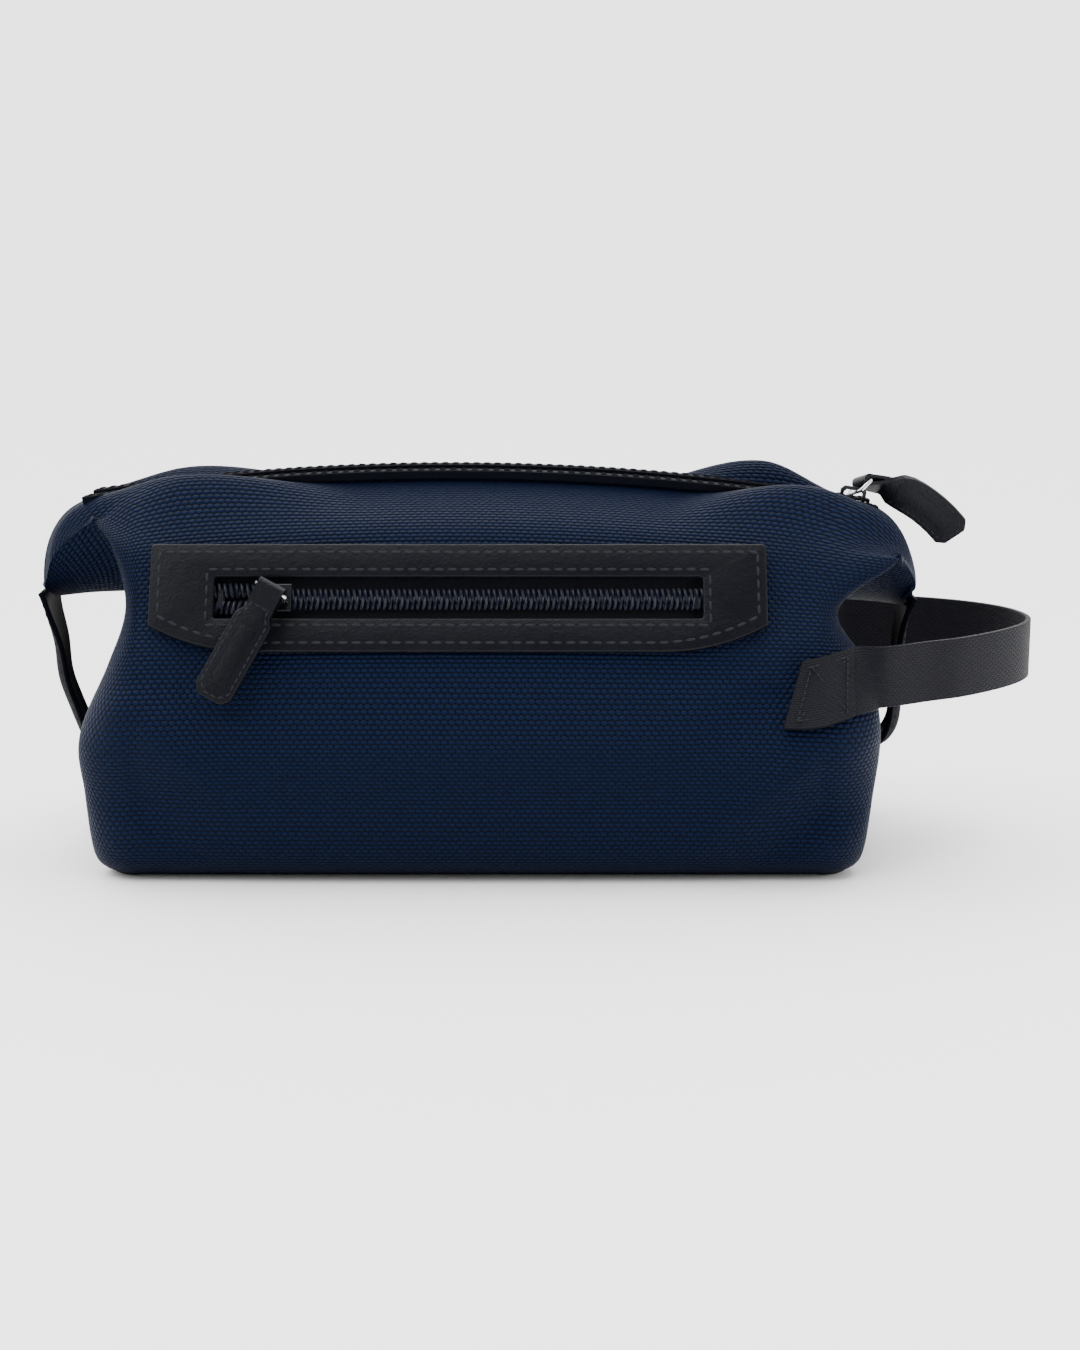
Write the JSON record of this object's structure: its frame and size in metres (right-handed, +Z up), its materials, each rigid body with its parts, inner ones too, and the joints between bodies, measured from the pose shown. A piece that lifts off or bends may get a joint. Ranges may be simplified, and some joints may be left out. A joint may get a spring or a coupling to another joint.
{
  "type": "wash bag",
  "caption": "Soft woven wash bag with a full-length top zip, folded wing ends tied down by leather tabs, a framed front zip pocket and a webbing hand loop.",
  "frame": {"origin": "centre of the bag's underside, on the surface that it stands on", "axes": "+X along the bag towards the hand loop, +Y from the pocket side to the back, +Z up"},
  "size_m": [0.342, 0.1259, 0.1296],
  "materials": {
    "shell_cloth": "woven navy nylon, matt",
    "leather": "black smooth grain leather, satin, glossy pressed edges",
    "webbing": "black ribbed nylon webbing",
    "zip_tape": "black knitted tape",
    "zip_coil": "dark nylon coil, satin",
    "nickel": "bright nickel",
    "black_metal": "black lacquered zinc",
    "lining_cloth": "grey lining cloth",
    "board": "grey stiffener board"
  },
  "bodies": {
    "bag": {"bottom_panel": "shell_cloth", "base_board": "board", "left_gusset": "shell_cloth", "right_gusset": "shell_cloth", "front_panel_left_end": "shell_cloth", "front_panel_right_end": "shell_cloth", "back_panel_left_end": "shell_cloth", "back_panel_right_end": "shell_cloth", "left_wing_tab": "leather", "right_wing_tab": "leather", "left_tab_patch": "leather", "right_tab_patch": "leather", "left_zip_stop": "nickel", "right_zip_stop": "nickel", "front_zip_left_end": "zip_tape", "front_zip_right_end": "zip_tape", "back_zip_left_end": "zip_tape", "back_zip_right_end": "zip_tape", "front_trim_left_end": "leather", "front_trim_right_end": "leather", "back_trim_left_end": "leather", "back_trim_right_end": "leather", "strap_front_end": "webbing", "strap_back_end": "webbing"},
    "front_side": {"front_panel": "shell_cloth", "front_lining": "lining_cloth", "front_top_coil": "zip_coil", "front_top_tape": "zip_tape", "front_top_trim": "leather", "pocket_frame": "leather", "pocket_tape_upper": "zip_tape", "pocket_tape_lower": "zip_tape", "pocket_coil_upper": "zip_coil", "pocket_coil_lower": "zip_coil", "pocket_stop_left": "nickel", "pocket_stop_right": "nickel", "pocket_bag": "lining_cloth"},
    "back_side": {"back_panel": "shell_cloth", "back_lining": "lining_cloth", "back_top_coil": "zip_coil", "back_top_tape": "zip_tape", "back_top_trim": "leather"},
    "top_slider": {"top_slider": "black_metal"},
    "top_ring": {"top_ring": "nickel"},
    "top_pull": {"top_pull": "leather"},
    "pocket_slider": {"pocket_slider": "black_metal"},
    "pocket_ring": {"pocket_ring": "nickel"},
    "pocket_pull": {"pocket_pull": "leather"},
    "hand_loop": {"strap_loop": "webbing"}
  },
  "joints": [
    {"name": "mouth_front", "type": "hinge", "parent": "bag", "child": "front_side", "pos_m": [0, -0.049, 0.0006], "axis": [1, 0, 0], "range_deg": [0, 16]},
    {"name": "mouth_back", "type": "hinge", "parent": "bag", "child": "back_side", "pos_m": [0, 0.049, 0.0006], "axis": [-1, 0, 0], "range_deg": [0, 16]},
    {"name": "top_slider_travel", "type": "hinge", "parent": "bag", "child": "top_slider", "pos_m": [-0.01, 0, -0.722], "axis": [0, -1, 0], "range_deg": [0, 16.91]},
    {"name": "top_ring_lift", "type": "hinge", "parent": "top_slider", "child": "top_ring", "pos_m": [0.12652, 0, 0.12028], "axis": [0.34, -0.9058, 0.2529], "range_deg": [0, 60]},
    {"name": "top_pull_lift", "type": "hinge", "parent": "top_ring", "child": "top_pull", "pos_m": [0.13077, 0.00262, 0.12395], "axis": [0.34, -0.9058, 0.2529], "range_deg": [0, 60]},
    {"name": "pocket_slider_travel", "type": "slide", "parent": "front_side", "child": "pocket_slider", "axis": [1, 0, 0], "range_m": [-0.009, 0.128]},
    {"name": "pocket_ring_turn", "type": "hinge", "parent": "pocket_slider", "child": "pocket_ring", "pos_m": [-0.066, -0.04625, 0.0929], "axis": [0, 0.8952, -0.4457], "range_deg": [0, 50]},
    {"name": "pocket_pull_lift", "type": "hinge", "parent": "pocket_ring", "child": "pocket_pull", "pos_m": [-0.066, -0.0518, 0.09567], "axis": [-0.8746, 0.2161, 0.434], "range_deg": [0, 90]},
    {"name": "hand_loop_swing", "type": "hinge", "parent": "bag", "child": "hand_loop", "pos_m": [0.14, 0, 0.0665], "axis": [0, -1, 0], "range_deg": [-25, 35]}
  ],
  "couplings": [
    {"joint": "mouth_back", "follows": "mouth_front", "ratio": 1},
    {"joint": "top_slider_travel", "follows": "mouth_front", "ratio": 1.0565}
  ]
}
